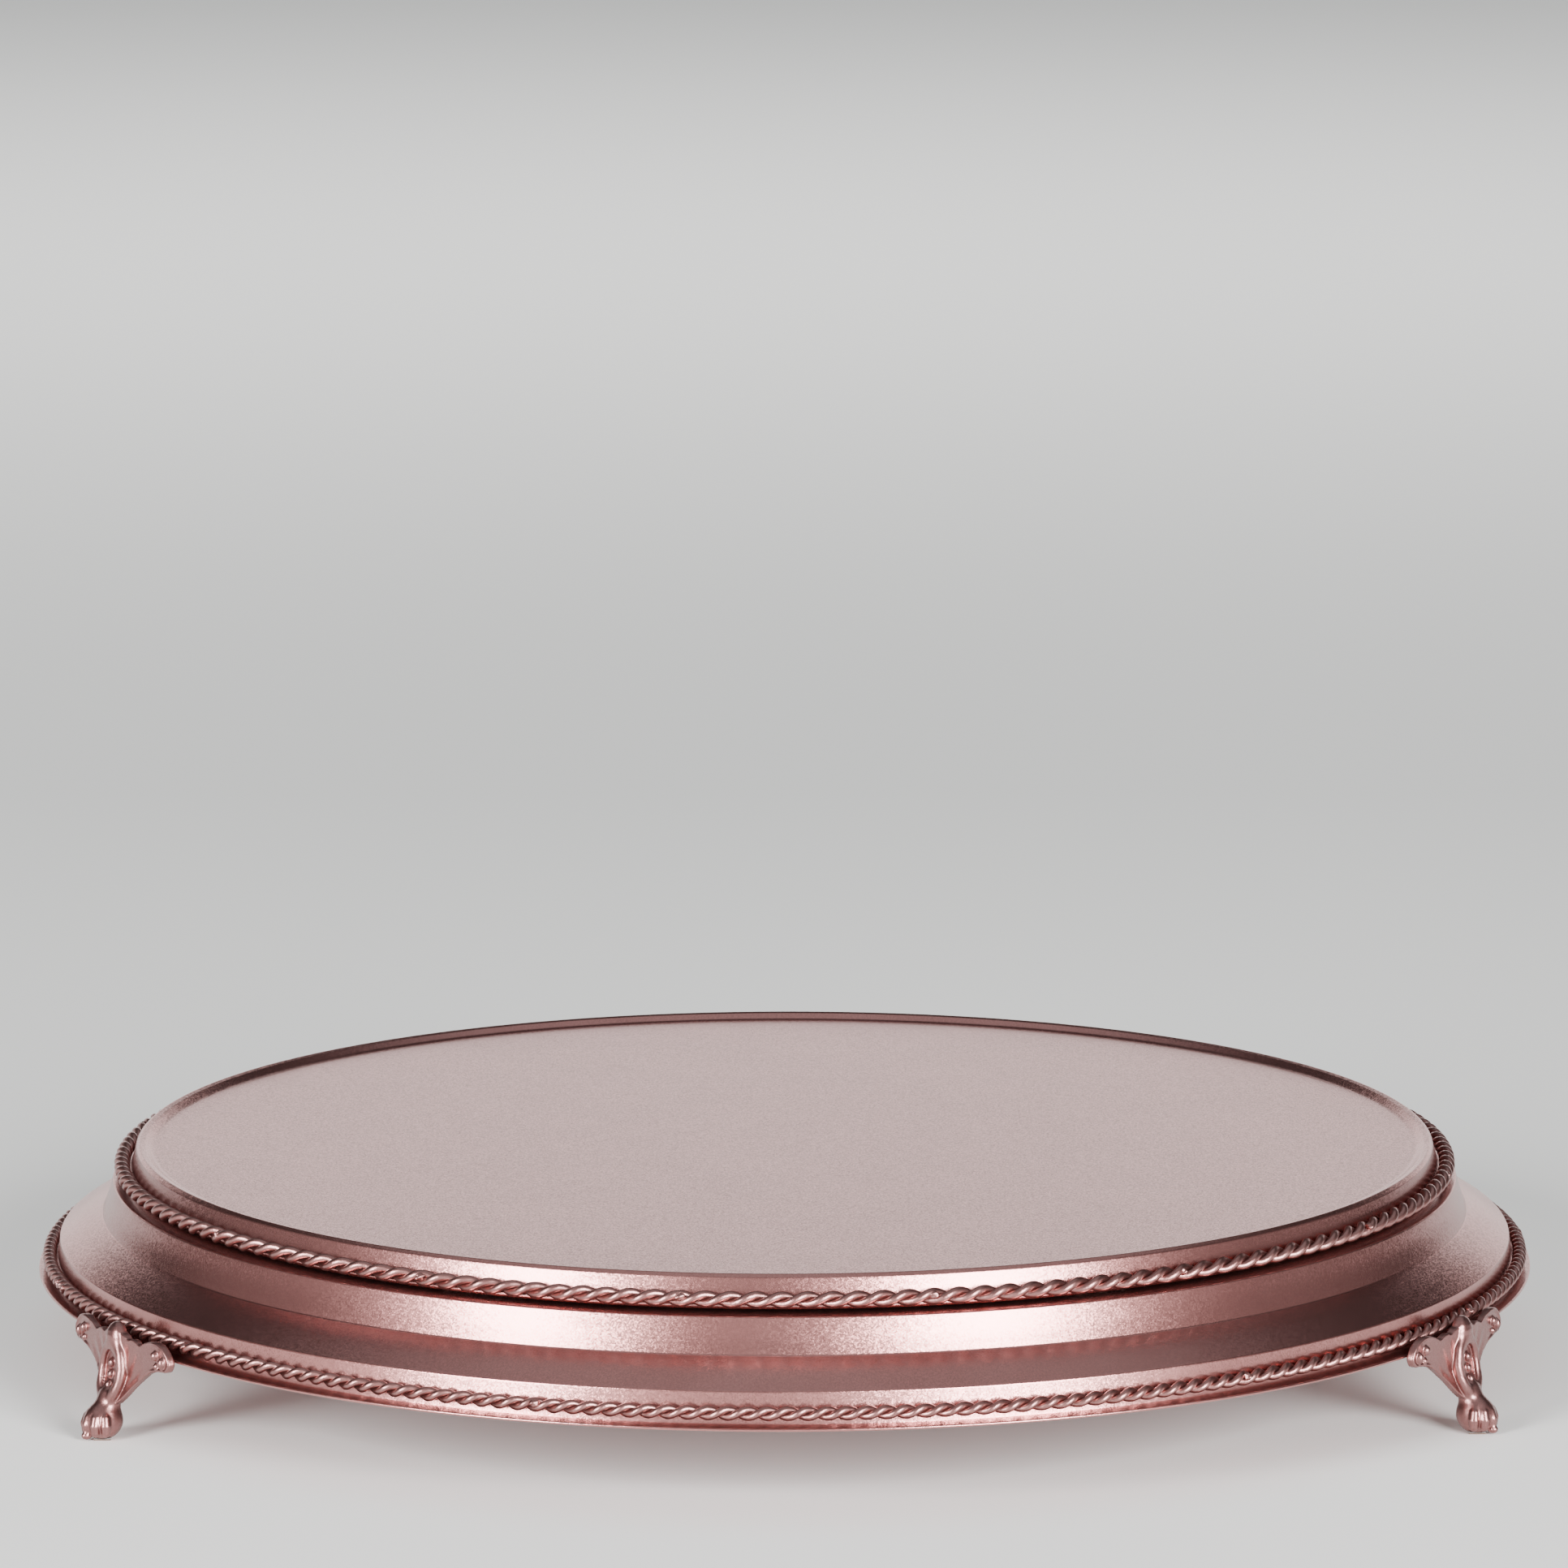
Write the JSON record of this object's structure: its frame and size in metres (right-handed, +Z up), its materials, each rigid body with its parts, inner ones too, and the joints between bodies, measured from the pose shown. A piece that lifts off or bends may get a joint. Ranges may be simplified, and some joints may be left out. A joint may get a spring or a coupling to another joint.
{
  "type": "cake turntable",
  "caption": "Low round footed cake turntable with a flat lipped plate, twisted-rope edges, a flared stepped base and three cast claw feet.",
  "frame": {"origin": "on the spin axis, on the surface that the three feet stand on", "axes": "+Z up along the spin axis; -Y is the front, midway between the two front feet; +X is the front's right-hand side"},
  "size_m": [0.5407, 0.558, 0.077],
  "materials": {
    "rose_gold_sheet": "satin metallic lacquer on spun steel",
    "rose_gold_rope": "satin metallic lacquer on twisted wire",
    "rose_gold_casting": "satin metallic lacquer on a zinc casting",
    "hardboard": "smooth sealed hardboard",
    "zinc_steel": "bright zinc plate",
    "acetal": "moulded natural acetal",
    "felt": "pressed wool felt"
  },
  "bodies": {
    "base": {"base_shell": "rose_gold_sheet", "lower_rope": "rose_gold_rope", "pivot_bush": "acetal", "deck_doubler": "zinc_steel", "glide_blocks": "acetal", "rim_ring": "rose_gold_sheet", "foot_front_left": "rose_gold_casting", "foot_front_right": "rose_gold_casting", "foot_back": "rose_gold_casting", "foot_screws": "zinc_steel", "foot_nuts": "zinc_steel", "foot_pads": "felt"},
    "revolving_top": {"top_plate": "rose_gold_sheet", "upper_rope": "rose_gold_rope", "stiffening_disc": "hardboard", "pivot_plate": "zinc_steel", "pivot_plate_screws": "zinc_steel", "pivot_stud": "zinc_steel", "plate_washer": "zinc_steel", "lock_nut": "zinc_steel"}
  },
  "joints": [
    {"name": "plate_spin", "type": "hinge", "parent": "base", "child": "revolving_top", "pos_m": [0, 0, 0.06], "axis": [0, 0, 1], "continuous": true}
  ]
}
